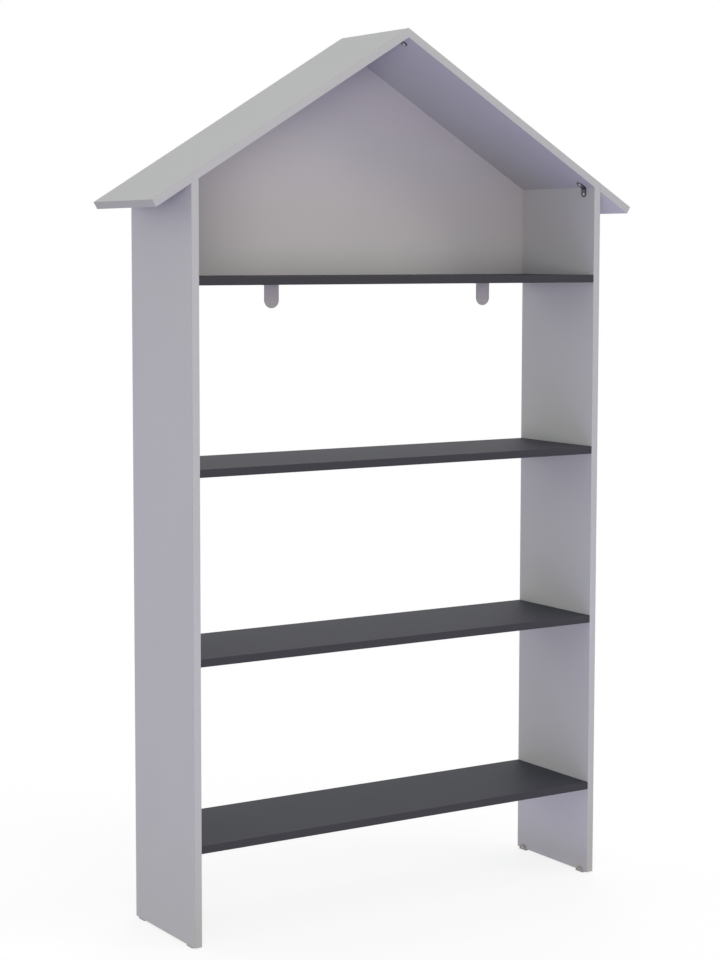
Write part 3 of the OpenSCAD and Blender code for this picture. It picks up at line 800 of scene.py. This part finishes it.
# Lamps as name, place, aim, size in metres, power in watts and colour.
# The last four lie on the floor and stand for the cool light that a wide floor throws up.
LAMPS = (
    ("key_light", (8.5, -8.6, 5.5), (0, 0, 0.9), 5.0, 395, (1.0, 0.965, 0.845)),
    ("left_light", (-5.0, -6.0, 0.6), (0, 0, 0.8), 3.0, 300, (1.0, 0.98, 0.925)),
    ("front_light", (0, -5.0, 2.0), (0, 0, 1.0), 2.4, 20, (1.0, 0.97, 0.99)),
    ("low_front_light", (0, -4.0, 0.9), (0, 0, 1.5), 1.5, 8, (0.78, 0.72, 1.0)),
    ("high_front_light", (0, -4.0, 5.0), (0, 0, 1.2), 3.0, 37, (0.91, 0.90, 1.0)),
    ("top_light", (0, 0, 10.0), (0, 0, 0), 7.0, 143, (1.0, 0.92, 0.92)),
    ("rear_left_light", (-3.2, 3.8, 2.8), (0, 0, 1.0), 2.4, 26, (1.0, 0.98, 0.955)),
    ("rear_right_light", (3.2, 3.8, 2.8), (0, 0, 1.0), 2.4, 64, (1.0, 1.0, 1.0)),
    ("floor_light", (0, -1.5, 0.03), (0, -1.5, 1.0), 1.6, 14.5, (0.43, 0.46, 1.0)),
    ("left_floor_light", (-1.7, 0.1, 0.03), (-1.7, 0.1, 1.0), 1.4, 3.5, (0.32, 0.33, 1.0)),
    ("right_floor_light", (1.7, -0.1, 0.03), (1.7, -0.1, 1.0), 1.4, 3.5, (0.32, 0.33, 1.0)),
    ("under_light", (0, -0.2, 0.03), (0, -0.2, 1.0), 0.8, 1.3, (0.64, 0.66, 1.0)),
)


def add_lamp(name, place, aim, size, power, color):
    """Adds a soft square lamp that the camera doesn't see."""
    data = bpy.data.lights.new(name, "AREA")
    data.shape = "SQUARE"
    data.size = size
    data.energy = power
    data.color = color
    lamp = bpy.data.objects.new(name, data)
    lamp.location = place
    lamp.rotation_euler = (Vector(aim) - Vector(place)).to_track_quat("-Z", "Y").to_euler()
    lamp.visible_camera = False
    lamp.visible_glossy = False
    bpy.context.scene.collection.objects.link(lamp)


def seen_directly(tree):
    """1 for what the camera sees, straight or in a gloss or glass, and 0 for all other light."""
    path = add_node(tree, "ShaderNodeLightPath").outputs
    seen = add_math(tree, "MAXIMUM", path["Is Camera Ray"], path["Is Glossy Ray"])
    return add_math(tree, "MAXIMUM", seen, path["Is Transmission Ray"])


WHITE = (1, 1, 1, 1)


def make_world(stage):
    """Even light from all round, in front of a white background."""
    world = bpy.data.worlds.new("plain_room")
    world.use_nodes = True
    tree = world.node_tree
    room = tree.nodes["Background"]
    fill_inputs(room, Color=(*stage.sky_color, 1))
    white = add_node(tree, "ShaderNodeBackground", Color=WHITE, Strength=1.0)
    mixed = mix_shaders(tree, seen_directly(tree), room.outputs[0], white.outputs[0])
    fill_inputs(tree.nodes["World Output"], Surface=mixed)
    bpy.context.scene.world = world


# How much of the object's shadow the floor shows, and where that share starts and ends to fade
SHADOW_SHARE = 0.2
SHADOW_NEAR = 0.9
SHADOW_FAR = 2.2


def floor_material(stage):
    """White to the eye, with the object's shadow near it, and a source of cool light.

    Its lower side is clear, so that the object can be seen from below."""
    material = bpy.data.materials.new("plain_floor")
    material.use_nodes = True
    tree = material.node_tree
    tree.nodes.remove(tree.nodes["Principled BSDF"])
    bounce = add_node(tree, "ShaderNodeBsdfDiffuse", Color=(*stage.floor_color, 1))
    glow = add_node(tree, "ShaderNodeEmission", Color=(*stage.floor_glow, 1), Strength=1.0)
    sent = tree.nodes.new("ShaderNodeAddShader")
    set_input(sent.inputs[0], bounce.outputs[0])
    set_input(sent.inputs[1], glow.outputs[0])
    pale = add_node(tree, "ShaderNodeBsdfDiffuse", Color=WHITE)
    white = add_node(tree, "ShaderNodeEmission", Color=WHITE, Strength=1.0)
    far = add_vector_math(tree, "LENGTH", object_coordinates(tree))
    share = map_range(tree, far, SHADOW_NEAR, SHADOW_FAR, SHADOW_SHARE, 0)
    look = mix_shaders(tree, share, white.outputs[0], pale.outputs[0])
    upper_side = mix_shaders(tree, seen_directly(tree), sent.outputs[0], look)
    clear = tree.nodes.new("ShaderNodeBsdfTransparent")
    is_lower = add_node(tree, "ShaderNodeNewGeometry").outputs["Backfacing"]
    one_sided = mix_shaders(tree, is_lower, upper_side, clear.outputs[0])
    fill_inputs(tree.nodes["Material Output"], Surface=one_sided)
    return material


def make_floor(stage):
    """A wide pale floor."""
    bm = bmesh.new()
    bmesh.ops.create_grid(bm, x_segments=1, y_segments=1, size=stage.floor_size / 2)
    mesh = bpy.data.meshes.new("floor")
    bm.to_mesh(mesh)
    bm.free()
    mesh.materials.append(floor_material(stage))
    floor = bpy.data.objects.new("floor", mesh)
    bpy.context.scene.collection.objects.link(floor)


SENSOR_WIDTH = 36
VIEW_LIMIT = 200


def make_camera(stage):
    """The camera of the photograph's view."""
    data = bpy.data.cameras.new("camera")
    data.sensor_width = SENSOR_WIDTH
    data.lens = stage.camera_lens
    data.shift_x, data.shift_y = stage.camera_shift
    data.clip_end = VIEW_LIMIT
    camera = bpy.data.objects.new("camera", data)
    turn = Matrix.Rotation(stage.camera_heading, 4, "Z") @ Matrix.Rotation(stage.camera_tilt, 4, "X")
    level = Matrix.Rotation(math.radians(90), 4, "X")
    turn = turn @ Matrix.Rotation(stage.camera_roll, 4, "Y") @ level
    camera.matrix_world = Matrix.Translation(stage.camera_place) @ turn
    bpy.context.scene.collection.objects.link(camera)
    bpy.context.scene.camera = camera


class BOOKSHELF_OT_stage(bpy.types.Operator):
    """Makes the floor, the light and the camera"""
    bl_idname = "bookshelf.stage"
    bl_label = "Stage"

    def execute(self, context):
        stage = context.scene.bookshelf_stage
        make_camera(stage)
        make_floor(stage)
        make_world(stage)
        for lamp in LAMPS:
            add_lamp(*lamp)
        context.scene.view_settings.view_transform = "Standard"
        return {"FINISHED"}


class BOOKSHELF_PT_sidebar(bpy.types.Panel):
    """Lists the bookshelf's settings and steps"""
    bl_idname = "BOOKSHELF_PT_sidebar"
    bl_label = "Bookshelf"
    bl_space_type = "VIEW_3D"
    bl_region_type = "UI"
    bl_category = "Bookshelf"

    def draw(self, context):
        for step in STEPS:
            self.layout.operator(step.bl_idname)
        for name, group in SETTINGS.items():
            settings = getattr(context.scene, name)
            box = self.layout.box()
            box.label(text=group.__doc__)
            for prop in group.__annotations__:
                box.prop(settings, prop)


SETTINGS = {
    "bookshelf_boards": BookshelfBoards,
    "bookshelf_fittings": BookshelfFittings,
    "bookshelf_stage": BookshelfStage,
}
STEPS = (
    BOOKSHELF_OT_stage,
    BOOKSHELF_OT_side_panels,
    BOOKSHELF_OT_roof_panels,
    BOOKSHELF_OT_shelves,
    BOOKSHELF_OT_gable_back,
    BOOKSHELF_OT_fittings,
)


def register():
    for group in (*SETTINGS.values(), *STEPS, BOOKSHELF_PT_sidebar):
        bpy.utils.register_class(group)
    for name, group in SETTINGS.items():
        setattr(bpy.types.Scene, name, PointerProperty(type=group))


def unregister():
    for name in SETTINGS:
        delattr(bpy.types.Scene, name)
    for group in (BOOKSHELF_PT_sidebar, *reversed(STEPS), *reversed(SETTINGS.values())):
        bpy.utils.unregister_class(group)


def main():
    register()
    bpy.ops.bookshelf.stage()
    bpy.ops.bookshelf.side_panels()
    bpy.ops.bookshelf.roof_panels()
    bpy.ops.bookshelf.shelves()
    bpy.ops.bookshelf.gable_back()
    bpy.ops.bookshelf.fittings()


if __name__ == "__main__":
    main()
